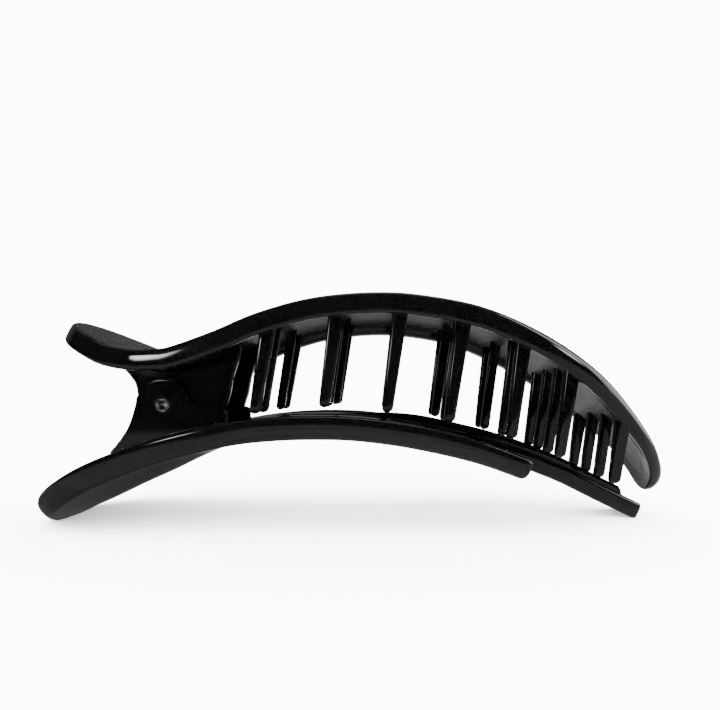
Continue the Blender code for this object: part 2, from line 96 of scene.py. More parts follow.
def smooth_points(points: Array, per_span: int = 24, before: Array | None = None) -> Array:
    """Catmull-Rom curve: each span is the cubic through its ends with neighbour slopes.

    Args:
        points: control points, one row each.
        per_span: samples between two control points.
        before: ghost point ahead of the first one, mirrored when left out.

    Returns:
        The sampled curve, one row per sample.
    """
    ghost = 2 * points[0] - points[1] if before is None else before
    p = np.vstack([ghost, points, 2 * points[-1] - points[-2]])
    t = np.linspace(0, 1, per_span, endpoint=False)[None, :, None]
    a, b, c, d = (p[i:len(p) - 3 + i, None, :] for i in range(4))
    spans = 0.5 * (2 * b + (c - a) * t + (2 * a - 5 * b + 4 * c - d) * t ** 2
                   + (3 * b - a - 3 * c + d) * t ** 3)
    return np.vstack([spans.reshape(-1, points.shape[1]), points[-1:]])


def ease(value: Array | float, low: float, high: float) -> Array:
    """Smooth step: 3t^2 - 2t^3 with t the clipped share from low to high."""
    t = np.clip((np.asarray(value, float) - low) / (high - low), 0, 1)
    return t * t * (3 - 2 * t)


def soften(inward: Array, height: Array) -> tuple[Array, Array]:
    """Corner cutting, twice: an inner corner gives way to points 1/4 and 3/4 along its edges.

    Args:
        inward: fractions inward, stations by points.
        height: heights, stations by points.

    Returns:
        The rounded fractions and heights, whose ends stay on the middle line.
    """
    section = np.stack([inward, height], axis=-1)
    for _ in range(2):
        a, b = section[:, :-1], section[:, 1:]
        cut = np.stack([0.75 * a + 0.25 * b, 0.25 * a + 0.75 * b], axis=2)
        cut = cut.reshape(section.shape[0], -1, section.shape[2])
        section = np.concatenate([section[:, :1], cut[:, 1:-1], section[:, -1:]], axis=1)
    section[:, [0, -1], 0] = 1.0
    return section[..., 0], section[..., 1]


class SideLine:
    """A side-view curve with distances, slopes and points lifted off it."""

    def __init__(self, points: tuple[Pair, ...]) -> None:
        """Samples the curve through the points."""
        line = smooth_points(np.array(points, float))
        self.along = np.concatenate([[0], np.cumsum(np.linalg.norm(np.diff(line, axis=0), axis=1))])
        slope = np.gradient(line, self.along, axis=0)
        self.tangent = slope / np.linalg.norm(slope, axis=1)[:, None]
        self.line = line
        self.length = float(self.along[-1])

    def x_at(self, s: Array | float) -> Array:
        """Side-view x at a distance along the curve."""
        return np.interp(s, self.along, self.line[:, 0])

    def lift(self, s: Array, y: Array, h: Array) -> Array:
        """Point P(s) + h n(s), carried across to y.

        Args:
            s: distances along the curve.
            y: distances across.
            h: heights along the normal.

        Returns:
            Points as x, y, z in the last axis.
        """
        s, y, h = np.broadcast_arrays(s, y, h)
        x, z = (np.interp(s, self.along, self.line[:, k]) for k in (0, 1))
        tx, tz = (np.interp(s, self.along, self.tangent[:, k]) for k in (0, 1))
        n = np.hypot(tx, tz)
        return np.stack([x - tz / n * h, y, z + tx / n * h], axis=-1)

    def s_at_x(self, x: Array | float) -> Array:
        """Distance along the curve at a side-view x, up to the curve's rightmost point."""
        keep = int(np.argmax(self.line[:, 0])) + 1
        return np.interp(x, self.line[:keep, 0], self.along[:keep])


# Meshes

def grid_faces(rings: int, points: int, closed: bool) -> Array:
    """Quads of a grid of rings by points, the rings joined in a loop when closed."""
    i = np.arange(rings if closed else rings - 1)[:, None]
    j = np.arange(points - 1)[None, :]
    k = (i + 1) % rings
    a, b = i * points + j, k * points + j
    return np.stack([a, b, b + 1, a + 1], axis=-1).reshape(-1, 4)


def tube_faces(rings: int, sides: int) -> Array:
    """Quads between rings that each close on themselves."""
    i = np.arange(rings - 1)[:, None] * sides
    j = np.arange(sides)[None, :]
    k = (j + 1) % sides
    return np.stack([i + j, i + k, i + sides + k, i + sides + j], axis=-1).reshape(-1, 4)


def link(name: str, data: bpy.types.ID) -> bpy.types.Object:
    """Puts a new object with this data in the scene."""
    obj = bpy.data.objects.new(name, data)
    bpy.context.scene.collection.objects.link(obj)
    return obj


def make_piece(name: str, verts: Array, faces: Array, material: bpy.types.Material,
               half: Half | None, slot: Slot, second: bpy.types.Material | None = None,
               second_faces: Array | None = None) -> bpy.types.Object:
    """Writes a closed mesh in metres, merges its seams and poles, and sets it on its body.

    Args:
        name: the piece's name.
        verts: points in millimetres of the side-view tables.
        faces: quads.
        material: the finish.
        half: the body that the piece rides on, or None for a piece that rides on neither.
        slot: the record's slot; not used.
        second: another finish for some of the faces.
        second_faces: 1 for each face that has it, otherwise 0.

    Returns:
        The finished object, at the origin.
    """
    place = (verts.reshape(-1, 3) + np.array([SHIFT_X, 0.0, 0.0])) * MM
    mesh = bpy.data.meshes.new(name)
    mesh.from_pydata(place.tolist(), [], faces.tolist())
    if second_faces is not None:
        mesh.polygons.foreach_set("material_index", second_faces.astype(np.int32))
    work = bmesh.new()
    work.from_mesh(mesh)
    bmesh.ops.remove_doubles(work, verts=work.verts, dist=1e-6)
    bmesh.ops.dissolve_degenerate(work, edges=work.edges, dist=1e-7)
    bmesh.ops.recalc_face_normals(work, faces=work.faces)
    work.to_mesh(mesh)
    work.free()
    mesh.polygons.foreach_set("use_smooth", np.ones(len(mesh.polygons), bool))
    mesh.materials.append(material)
    if second is not None:
        mesh.materials.append(second)
    obj = link(name, mesh)
    if half is not None:
        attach(obj, half.value)
    return obj


def outline_of(length: float, half_at: Callable[[Array], Array], start_radius: float,
               end_radius: float, steps: int, arc: int, end: Array | None = None) -> Array:
    """Outline of a strip with round ends, each point with the middle-line point it faces.

    Args:
        length: length of the strip along its line.
        half_at: half width at a distance.
        start_radius: length of the round start.
        end_radius: length of the round end.
        steps: samples down a side.
        arc: samples round a quarter of an end.
        end: ready points of the end, used in place of a quarter ellipse.

    Returns:
        Rows of distance, y and middle distance, all the way round.
    """
    a = np.linspace(0, np.pi / 2, arc, endpoint=False)
    start = np.stack([start_radius * (1 - np.cos(a)),
                      half_at(np.full_like(a, start_radius)) * np.sin(a),
                      np.full_like(a, start_radius)], axis=1)
    s = np.linspace(start_radius, length - end_radius, steps)
    side = np.stack([s, half_at(s), s], axis=1)
    if end is None:
        a = np.linspace(0, np.pi / 2, arc + 1)[1:]
        middle = length - end_radius
        end = np.stack([middle + end_radius * np.sin(a),
                        half_at(np.full_like(a, middle)) * np.cos(a),
                        np.full_like(a, middle)], axis=1)
    near = np.vstack([start, side, end])
    far = near[1:-1][::-1]
    return np.vstack([near * [1, -1, 1], far])


def sheet(line: SideLine, outline: Array, inward: Array, height: Array,
          middle: float = 0.0) -> Mesh:
    """A cross-section carried round an outline that lies on a curved sheet.

    The point at fraction f inward from the outline is M + (1 - f)(O - M), lifted by its height
    along the line's normal, with O on the outline and M the point of the middle line it faces.

    Args:
        line: the sheet's side-view curve.
        outline: rows of distance, y and middle distance.
        inward: fractions, stations by points.
        height: heights, stations by points.
        middle: how far across the middle line lies.

    Returns:
        Points and quads.
    """
    share = 1 - inward
    s = outline[:, 2:3] + (outline[:, 0:1] - outline[:, 2:3]) * share
    verts = line.lift(s, middle + outline[:, 1:2] * share, height)
    return verts, grid_faces(len(outline), inward.shape[1], True)


# Finishes

def put(node: bpy.types.Node, values: dict[str, object]) -> None:
    """Sets constant values on a node's inputs."""
    for name, value in values.items():
        node.inputs[name].default_value = value


def noise(tree: bpy.types.NodeTree, vector: bpy.types.NodeSocket, scale: float,
          detail: float) -> bpy.types.NodeSocket:
    """Adds a noise pattern.

    Args:
        tree: the material's nodes.
        vector: coordinates that the pattern follows.
        scale: patches in a metre.
        detail: how many finer layers it has.

    Returns:
        The pattern's value.
    """
    node = tree.nodes.new("ShaderNodeTexNoise")
    put(node, {"Scale": scale, "Detail": detail})
    tree.links.new(vector, node.inputs["Vector"])
    return node.outputs["Fac"]


def spread(tree: bpy.types.NodeTree, value: bpy.types.NodeSocket, source: Pair,
           target: Pair) -> bpy.types.NodeSocket:
    """Adds a map from one span of values to another.

    Args:
        tree: the material's nodes.
        value: the value to map.
        source: the span that it is cut to.
        target: what the two ends of that span become.

    Returns:
        The mapped value.
    """
    node = tree.nodes.new("ShaderNodeMapRange")
    put(node, dict(zip(("From Min", "From Max", "To Min", "To Max"), (*source, *target))))
    tree.links.new(value, node.inputs["Value"])
    return node.outputs["Result"]


def emboss(tree: bpy.types.NodeTree, height: bpy.types.NodeSocket, strength: float,
           distance: float) -> None:
    """Presses a pattern into the shader's surface.

    Args:
        tree: the material's nodes.
        height: the pattern.
        strength: its share.
        distance: its depth in metres.
    """
    node = tree.nodes.new("ShaderNodeBump")
    put(node, {"Strength": strength, "Distance": distance})
    tree.links.new(height, node.inputs["Height"])
    tree.links.new(node.outputs["Normal"], tree.nodes["Principled BSDF"].inputs["Normal"])


@dataclass(frozen=True)
class GlossPlastic:
    """Black moulding: near-mirror skin with faint waviness, handling haze and fine scratches."""

    name: str
    base: Triple = (0.0004, 0.0004, 0.00045)
    smooth: float = 0.035
    hazy: float = 0.10
    wave: float = 0.05

    def build(self) -> bpy.types.Material:
        """Makes the material on Object coordinates."""
        mat = bpy.data.materials.new(self.name)
        mat.use_nodes = True
        tree = mat.node_tree
        shader = tree.nodes["Principled BSDF"]
        put(shader, {"IOR": 1.5, "Coat Weight": 0.0})
        place = tree.nodes.new("ShaderNodeTexCoord").outputs["Object"]
        haze = noise(tree, place, 70.0, 6.0)
        stretch = tree.nodes.new("ShaderNodeMapping")
        put(stretch, {"Scale": (60.0, 900.0, 900.0), "Rotation": (0.1, 0.25, 0.35)})
        tree.links.new(place, stretch.inputs["Vector"])
        scratches = spread(tree, noise(tree, stretch.outputs["Vector"], 1.0, 3.0), (0.62, 0.74),
                           (0.0, 0.35))
        join = tree.nodes.new("ShaderNodeMath")
        join.operation = "ADD"
        join.use_clamp = True
        tree.links.new(haze, join.inputs[0])
        tree.links.new(scratches, join.inputs[1])
        rough = spread(tree, join.outputs["Value"], (0.35, 0.95), (self.smooth, self.hazy))
        tree.links.new(rough, shader.inputs["Roughness"])
        tint = tree.nodes.new("ShaderNodeMix")
        tint.data_type = "RGBA"
        tint.inputs[6].default_value = (*self.base, 1.0)
        tint.inputs[7].default_value = (*(1.8 * c for c in self.base), 1.0)
        tree.links.new(haze, tint.inputs[0])
        tree.links.new(tint.outputs[2], shader.inputs["Base Color"])
        emboss(tree, noise(tree, place, 110.0, 1.5), self.wave, 0.0004)
        return mat


@dataclass(frozen=True)
class DrawnSteel:
    """Drawn steel wire and rod: fine lines round it and a little tarnish."""

    name: str
    bright: Triple = (0.42, 0.38, 0.34)
    tarnish: Triple = (0.13, 0.09, 0.065)
    low: float = 0.22
    high: float = 0.42

    def build(self) -> bpy.types.Material:
        """Makes the material on Object coordinates."""
        mat = bpy.data.materials.new(self.name)
        mat.use_nodes = True
        tree = mat.node_tree
        shader = tree.nodes["Principled BSDF"]
        put(shader, {"Metallic": 1.0})
        place = tree.nodes.new("ShaderNodeTexCoord").outputs["Object"]
        spots = noise(tree, place, 900.0, 5.0)
        blend = tree.nodes.new("ShaderNodeValToRGB")
        blend.color_ramp.elements[0].position = 0.35
        blend.color_ramp.elements[0].color = (*self.tarnish, 1.0)
        blend.color_ramp.elements[1].position = 0.62
        blend.color_ramp.elements[1].color = (*self.bright, 1.0)
        tree.links.new(spots, blend.inputs["Fac"])
        tree.links.new(blend.outputs["Color"], shader.inputs["Base Color"])
        rough = spread(tree, spots, (0.0, 1.0), (self.high, self.low))
        tree.links.new(rough, shader.inputs["Roughness"])
        lines = tree.nodes.new("ShaderNodeTexWave")
        put(lines, {"Scale": 2500.0, "Distortion": 3.0})
        tree.links.new(place, lines.inputs["Vector"])
        emboss(tree, lines.outputs["Fac"], 0.15, 0.00003)
        return mat


# Sub-assemblies

@dataclass
class HingeSizes:
    """Where the pin is and how the ears are set on it.

    Attributes:
        x, z: the pin's middle in side view.
        pin, pin_half: radius and half length of the pin.
        bore, chamfer: radius of the ears' holes, and the bevel at their mouths.
        upper_y, lower_y: inner faces of the inner and of the outer ears.
        thick: thickness of an ear.
    """

    x: float = -42.8
    z: float = 23.6
    pin: float = 0.95
    pin_half: float = 10.5
    bore: float = 1.25
    chamfer: float = 0.3
    upper_y: float = 6.6
    lower_y: float = 8.9
    thick: float = 2.0


def ear_mesh(hinge: HingeSizes, outline: Array, y0: float, edge: float = 0.3,
             land: float = 0.05, samples: int = 240) -> Mesh:
    """An ear as a section carried round the pin.

    The outline is a radius r(a) about the pin; at each angle the section runs from the bore's
    wall over its chamfer, out along the face to r(a), round the edge and back on the other face.

    Args:
        hinge: the pin and bore sizes.
        outline: the ear's side-view corners.
        y0: the face nearer the middle plane, its sign gives the side.
        edge: rounding of the rim.
        land: narrow flat strip beside each edge, which keeps the face flat.
        samples: stations round the pin.

    Returns:
        Points and quads.
    """
    dense = edge_points(outline)
    angle = np.arctan2(dense[:, 1] - hinge.z, dense[:, 0] - hinge.x) % (2 * np.pi)
    reach = np.hypot(dense[:, 0] - hinge.x, dense[:, 1] - hinge.z)
    order = np.argsort(angle)
    a = np.linspace(0, 2 * np.pi, samples, endpoint=False)
    r = np.interp(a, angle[order], reach[order], period=2 * np.pi)[:, None]
    side = math.copysign(1.0, y0)
    y1 = y0 + side * hinge.thick
    ch, e = hinge.chamfer, edge
    inner = np.array([hinge.bore, hinge.bore, hinge.bore + ch, hinge.bore + ch + land])
    inner_y = np.array([y0, y1 - side * ch, y1, y1])
    q = np.linspace(0, np.pi / 2, 5)
    out = np.concatenate([-e + e * np.sin(q), -e + e * np.cos(q)])
    out_y = np.concatenate([y1 - side * e * (1 - np.cos(q)), y0 + side * e * (1 - np.sin(q))])
    radius = np.hstack([np.tile(inner, (samples, 1)), r - e - land, r + out[None, :], r - e - land,
                        np.full((samples, 2), hinge.bore)])
    radius[:, -2] += land
    across = np.concatenate([inner_y, [y1], out_y, [y0], [y0, y0]])
    verts = np.stack([hinge.x + radius * np.cos(a)[:, None],
                      np.tile(across, (samples, 1)),
                      hinge.z + radius * np.sin(a)[:, None]], axis=-1)
    return verts, grid_faces(samples, radius.shape[1], True)


def edge_points(corners: Array, per_edge: int = 24) -> Array:
    """Straight edges between corners, sampled evenly."""
    t = np.linspace(0, 1, per_edge, endpoint=False)[None, :, None]
    nxt = np.roll(corners, -1, axis=0)
    return (corners[:, None] * (1 - t) + nxt[:, None] * t).reshape(-1, 2)


def arc(cx: float, cz: float, radius: float, start: float, end: float, count: int) -> Array:
    """Points on a circle between two angles in degrees."""
    a = np.radians(np.linspace(start, end, count))
    return np.stack([cx + radius * np.cos(a), cz + radius * np.sin(a)], axis=1)


@dataclass
class UpperJaw:
    """Curved shell with a thick rim, its teeth and its two inner ears.

    Attributes:
        edge: side line of the rim's upper edge, from handle to nose.
        taper: half width against the distance back from the nose's tip.
        plate, tall, wide: thickness of the plate, height and width of the rim.
        narrow: reach from the middle line below which the rim shrinks.
        crown_mid, crown_handle: how far the middle stands above the edges.
        nose_plate, nose_drop: how far the plate thickens and the rim lowers at the nose.
        shoulder: extra rounding of the rim's upper edge towards the nose.
        teeth: for each row of four, tip x and z, root x and z, outer and inner y.
        tooth_root, tooth_tip: a tooth's size along and across, at both ends.
        inner_root: size along at the roots of a row's two inner teeth.
        tooth_square: power of the rounded-square section.
        tip_tall, root_tall: heights of the round tip, and of the root that follows the plate.
    """

    finish: bpy.types.Material
    satin: bpy.types.Material
    hinge: HingeSizes
    edge: tuple[Pair, ...] = (
        (-63.2, 41.2), (-57.6, 38.35), (-52.5, 36.0), (-49.2, 34.65), (-44.9, 33.95),
        (-41.6, 34.02), (-38.3, 34.4), (-30.6, 37.1), (-22.5, 40.45), (-12.6, 43.15),
        (-1.8, 44.2), (7.8, 43.7), (19.8, 41.2), (32.7, 35.35), (43.8, 27.8), (53.7, 17.8),
        (58.1, 10.9), (59.5, 5.75))
    taper: tuple[Pair, ...] = (
        (0.0, 0.0), (0.7, 2.7), (2.4, 4.7), (5.2, 6.5), (9.2, 8.4), (14.3, 10.6),
        (20.7, 13.2), (28.4, 16.2), (34.7, 18.0), (41.8, 19.35), (50.0, 20.0), (56.0, 20.0))
    half: float = 20.0
    nose: float = 8.0
    plate: float = 1.8
    tall: float = 3.9
    wide: float = 3.0
    narrow: float = 7.0
    crown_mid: float = 1.5
    crown_handle: float = 0.3
    nose_plate: float = 1.8
    nose_drop: float = 0.8
    shoulder: float = 1.0
    teeth: tuple[tuple[float, ...], ...] = (
        (-23.3, 22.1, -20.95, 37.2, 16.5, 9.5), (-10.4, 23.3, -8.25, 39.8, 16.5, 9.5),
        (1.3, 22.35, 3.7, 40.2, 16.5, 9.5), (12.8, 20.5, 15.4, 38.5, 16.5, 9.5),
        (24.35, 17.5, 26.5, 34.1, 16.5, 9.5), (35.05, 13.35, 37.2, 28.0, 11.3, 3.7),
        (45.7, 8.3, 47.1, 18.2, 11.3, 3.7))
    tooth_root: Pair = (3.0, 2.4)
    tooth_tip: Pair = (2.05, 1.7)
    inner_root: float = 2.3
    tooth_square: float = 0.4
    tooth_sides: int = 32
    tooth_rings: int = 30
    tip_tall: float = 0.95
    root_tall: float = 4.0
    lobe: float = 5.6
    line: SideLine = field(init=False)

    def __post_init__(self) -> None:
        """Works out the shell's side line and nose outline."""
        self.line = SideLine(self.edge)
        table = smooth_points(np.array(self.taper), before=np.array([0.7, -2.7]))
        self.back, self.halves = table[:, 0], np.minimum(table[:, 1], self.half)

    def half_at(self, s: Array) -> Array:
        """Half width of the shell at a distance along it."""
        return np.interp(self.line.length - s, self.back, self.halves)

    def crown_at(self, s: Array) -> Array:
        """Height of the shell's middle above its edges."""
        x = self.line.x_at(s)
        rise = (self.crown_mid - self.crown_handle) * ease(x, -45, -15) * (1 - 0.5 * ease(x, 25, 58))
        return self.crown_handle + rise

    def middle_of_plate(self, x: Array, y: Array, depth: float) -> Array:
        """Height z of the layer at a depth in the plate, above plan points x and y."""
        aim = np.array(x, float)
        for _ in range(8):
            s = self.line.s_at_x(aim)
            f = np.minimum(1.0, np.abs(y) / self.half_at(s))
            point = self.line.lift(s, y, -depth + self.crown_at(s) * (1 - f * f))
            aim += x - point[..., 0]
        return point[..., 2]

    def outline(self) -> Array:
        """Plan outline: a half circle at the handle, straight sides, a drawn-in nose."""
        keep = self.back <= self.nose
        curve = np.stack([self.back[keep], self.halves[keep]], axis=1)
        far = np.array([[self.nose, np.interp(self.nose, self.back, self.halves)]])
        curve = np.vstack([curve, far])
        along = np.concatenate([[0], np.cumsum(np.linalg.norm(np.diff(curve, axis=0), axis=1))])
        pick = np.linspace(along[-1], 0, 25)[1:]
        back, half = (np.interp(pick, along, curve[:, k]) for k in (0, 1))
        end = np.stack([self.line.length - back, half,
                        np.full_like(back, self.line.length - self.nose)], axis=1)
        return outline_of(self.line.length, self.half_at, self.half, self.nose, 120, 26, end)

    def shell(self) -> Mesh:
        """Rim section round the outline, closed over by the crowned plate on both faces."""
        outline = self.outline()
        reach = np.hypot(outline[:, 0] - outline[:, 2], outline[:, 1])[:, None]
        size = np.minimum(1.0, reach / self.narrow)
        x = self.line.x_at(outline[:, 2])[:, None]
        w, flat = self.wide, np.zeros_like(reach)
        t = self.tall - self.nose_drop * ease(x, 46, 58)
        p = np.minimum(self.plate + self.nose_plate * ease(x, 22, 50), t - 0.01)
        k = np.clip((t - p) / (self.tall - self.plate), 0.005, 1)
        r = self.shoulder * ease(x, 10, 36)
        d = np.array([[w + 1.1, w + 0.35, w, w - 0.08, w - 0.3, w - 1.1, 1.0, 0.18, 0.0, 0.0]])
        d = np.hstack([d + flat, 0.2 + 0.45 * r, 1.1 + 1.2 * r])
        h = np.hstack([-p, -p - 0.12 * k, -p - 0.6 * k, -t + 0.8 * k, -t + 0.12 * k, -t, -t,
                       -t + 0.1, -t + 0.85, -0.95 - 0.6 * r, -0.15 - 0.3 * r, flat])
        d = d * size / reach
        low = np.hstack([1 - (1 - d[:, :1]) * f for f in PLATE_SHARES])
        top = np.hstack([1 - (1 - d[:, -1:]) * f for f in PLATE_SHARES[::-1]])
        inward = np.hstack([low, d, top])
        count = len(PLATE_SHARES)
        height = np.hstack([flat - p] * count + [h] + [flat] * count)
        inward, height = soften(inward, height)
        crown = self.crown_at(outline[:, 2])[:, None]
        return sheet(self.line, outline, inward, height + crown * (1 - (1 - inward) ** 2))

    def tooth_grid(self) -> Mesh:
        """All the teeth: a rounded-square section that grows from tip to root.

        At height v a tooth's half sizes are tip + (root - tip) v / L, and its tip closes as a
        quarter ellipse. The section is x = a cos(u)^n, y = b sin(u)^n with a small power n.
        """
        row = np.array(self.teeth)
        y = np.stack([-row[:, 4], -row[:, 5], row[:, 5], row[:, 4]], axis=1)
        tip_x, tip_z, root_x, root_z = (np.repeat(row[:, k], 4)[:, None] for k in range(4))
        y = y.reshape(-1, 1)
        lean = (root_x - tip_x) / (root_z - tip_z)
        top = root_z.copy()
        for _ in range(10):
            top = self.middle_of_plate(tip_x + lean * (top - tip_z), y, self.plate / 2)
        length = top - tip_z
        q = np.linspace(0, np.pi / 2, 8)
        tip = self.tip_tall * (1 - np.cos(q))[None, :]
        body = np.linspace(0, 1, self.tooth_rings)[None, 1:]
        v = np.hstack([np.tile(tip, (len(y), 1)), self.tip_tall + (length - self.tip_tall) * body,
                       length])
        close = np.concatenate([np.sin(q), np.ones(self.tooth_rings - 1), [0.0]])[None, :]
        t = v / length
        root = np.where(np.tile([0, 1, 1, 0], len(row))[:, None] > 0, self.inner_root,
                        self.tooth_root[0])
        half_x = (self.tooth_tip[0] + (root - self.tooth_tip[0]) * t) / 2 * close
        half_y = (self.tooth_tip[1] + (self.tooth_root[1] - self.tooth_tip[1]) * t) / 2 * close
        sides = self.tooth_sides
        a = 2 * np.pi * (np.arange(sides) + 0.5) / sides
        c = np.sign(np.cos(a)) * np.abs(np.cos(a)) ** self.tooth_square
        d = np.sign(np.sin(a)) * np.abs(np.sin(a)) ** self.tooth_square
        px = (tip_x + lean * v)[..., None] + half_x[..., None] * c
        py = y[..., None] + half_y[..., None] * d
        pz = np.broadcast_to((tip_z + v)[..., None], px.shape).copy()
        share = np.clip((v - (length - self.root_tall)) / self.root_tall, 0, 1)[..., None]
        skew = self.middle_of_plate(px, py, self.plate / 2) - top[..., None]
        pz += share * skew
        rings = v.shape[1]
        one = tube_faces(rings, sides)
        faces = (one[None] + (np.arange(len(y)) * rings * sides)[:, None, None]).reshape(-1, 4)
        return np.stack([px, py, pz], axis=-1), faces

    def ear_outline(self) -> Array:
        """Side-view corners of an inner ear, from the handle side round the pin to the plate."""
        hinge = self.hinge
        left = np.array([(-52.6, 32.6), (-51.3, 30.7), (-50.5, 29.9), (-49.3, 28.3),
                         (-48.9, 27.2), (-48.7, 25.8)])
        front = np.array([(-36.0, 20.2), (-32.6, 21.6), (-31.25, 22.95), (-30.25, 25.95),
                          (-29.6, 29.6), (-28.4, 33.3)])
        x = np.linspace(-27.8, -52.6, 12)
        y = np.full_like(x, hinge.upper_y + hinge.thick / 2)
        z = self.middle_of_plate(x, y, self.plate / 2)
        return np.vstack([left, arc(hinge.x, hinge.z, self.lobe, 170, 290, 24), front,
                          np.stack([x, z], axis=1)])

    def build(self) -> list[bpy.types.Object]:
        """Makes the shell, the teeth and the ears, which stand for the upper jaw."""
        verts, faces = self.shell()
        under = faces[:, 0] % verts.shape[1] < CUT_POINTS * len(PLATE_SHARES)
        shell = make_piece("upper_shell", verts, faces, self.finish, Half.UPPER, Slot.PLASTIC,
                           self.satin, under)
        verts, faces = self.tooth_grid()
        teeth = make_piece("teeth", verts, faces, self.finish, Half.UPPER, Slot.PLASTIC)
        pieces = [shell, teeth]
        for side, word in ((-1, "near"), (1, "far")):
            verts, faces = ear_mesh(self.hinge, self.ear_outline(), side * self.hinge.upper_y)
            pieces.append(make_piece(f"upper_ear_{word}", verts, faces, self.finish, Half.UPPER,
                                     Slot.PLASTIC))
        for piece in pieces:
            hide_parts("upper_jaw")
            LOG.info("%s: %d faces", piece.name, len(piece.data.polygons))
        return pieces


@dataclass
class LowerJaw:
    """Lower handle with a domed underside, three prongs, a rib and two outer ears.

    Attributes:
        edge, centre_edge: side lines of the jaw's upper edge, and of the centre prong's.
        dome, recess: how far the handle's underside bulges, and how deep its tray is.
        split_x: where the handle ends in x, past the prongs' starts.
        outer_inner_y: inner side of the outer prongs.
        prong_start, prong_end: lengths of a prong's round start and end.
        outer_thin: how much thinner the outer prongs end.
        proud: how far prong faces stand off the handle's, so that no two lie in one plane.
    """

    finish: bpy.types.Material
    hinge: HingeSizes
    edge: tuple[Pair, ...] = (
        (-70.2, 1.9), (-66.3, 5.5), (-61.5, 8.7), (-55.0, 12.4), (-48.5, 15.2),
        (-40.7, 17.9), (-30.5, 20.3), (-21.2, 21.5), (-12.0, 21.85), (-3.0, 21.5),
        (8.0, 19.9), (18.0, 17.3), (28.2, 13.55))
    centre_edge: tuple[Pair, ...] = (
        (-30.5, 20.2), (-21.2, 21.4), (-12.0, 21.75), (-3.0, 21.4), (8.0, 19.9), (20.6, 17.1),
        (28.9, 14.6), (38.0, 11.0), (45.8, 7.1), (51.5, 4.3), (54.9, 2.7))
    half: float = 20.0
    thick: float = 4.5
    dome: float = 2.6
    recess: float = 1.6
    split_x: float = -20.0
    prong_start_x: float = -26.0
    centre_start_x: float = -25.0
    outer_inner_y: float = 13.0
    centre_half: float = 5.25
    centre_root: float = 3.9
    centre_tip: float = 3.5
    rib_half: float = 1.25
    rib_tall: float = 1.5
    rib_span: Pair = (-12.0, 53.4)
    prong_start: float = 2.5
    prong_end: float = 2.2
    outer_thin: float = 0.5
    proud: float = 0.004
    lobe: float = 5.2

    def __post_init__(self) -> None:
        """Works out the two side lines."""
        self.line = SideLine(self.edge)
        self.centre = SideLine(self.centre_edge)

    def edge_section(self, thick: Array, size: Array, share: Array,
                     full: Array | float = 0.0) -> tuple[Array, Array]:
        """Edge of the lower jaw: a large or tight lower rounding and a small upper one.

        Args:
            thick: thickness at each station, one column.
            size: shrink of the roundings, one column.
            share: 1 for the large lower rounding, 0 for the tight one, one column.
            full: how far the upper rounding is enlarged as well, one column.

        Returns:
            Distances inward and heights, stations by points.
        """
        low, flat = thick / self.thick, np.zeros_like(thick)
        top = 1 + 1.1 * full + flat
        wide = np.array([[3.4, 1.9, 0.85, 0.2, 0.0, 0.0, 0.06, 0.5, 1.2]])
        tight = np.array([[0.9, 0.35, 0.12, 0.02, 0.0, 0.0, 0.06, 0.5, 1.2]])
        d = (tight + (wide - tight) * share) * size
        d[:, 4:] *= top
        up = [0.12 + 0.3 * share, 0.4 + 0.95 * share, 0.9 + 1.6 * share]
        h = np.hstack([-thick, -thick] + [-thick + v * low for v in up]
                      + [-1.1 * top, -0.5 * top, -0.05 * top, flat])
        return d, h

    def handle(self) -> Mesh:
        """The jaw up to the split: edge section, domed underside, shallow tray on top."""
        length = float(self.line.s_at_x(self.split_x))
        outline = outline_of(length, lambda s: np.full_like(s, self.half), self.half, 3.6, 90, 26)
        reach = np.hypot(outline[:, 0] - outline[:, 2], outline[:, 1])[:, None]
        x = self.line.x_at(outline[:, 2])[:, None]
        dome = self.dome * (1 - ease(x, -52, -26))
        tray = self.recess * (1 - ease(x, -38, -27))
        thick = np.full_like(reach, self.thick)
        full = 1 - ease(self.line.x_at(outline[:, :1]), -69.5, -61)
        share = np.maximum(ease(x, -36, -24), 0.5 * full)
        d, h = self.edge_section(thick, np.ones_like(reach), share, full)
        d = d / reach
        low = np.hstack([1 - (1 - d[:, :1]) * f for f in PLATE_SHARES])
        lip = np.hstack([(v + 1.0 * full) / reach for v in (2.2, 2.9, 3.4, 4.2)])
        lip_h = np.hstack([0 * tray, -0.15 * tray, -0.9 * tray, -tray])
        top = np.hstack([1 - (1 - lip[:, -1:]) * f for f in PLATE_SHARES[::-1]])
        inward = np.hstack([low, d, lip, top])
        count = len(PLATE_SHARES)
        height = np.hstack([np.tile(-thick, (1, count)), h, lip_h, np.tile(-tray, (1, count))])
        inward, height = soften(inward, height)
        bulge = 1 - (1 - inward) ** 2
        under = np.clip((-height - 0.9) / (self.thick - 0.9), 0, 1)
        first = np.arange(inward.shape[1])[None, :] < inward.shape[1] // 2
        sink = np.where(first, under * dome, 0.8 * dome * np.clip(-height / np.maximum(tray, 0.01),
                                                                   0, 1) * (tray > 0.02))
        return sheet(self.line, outline, inward, height - sink * bulge)

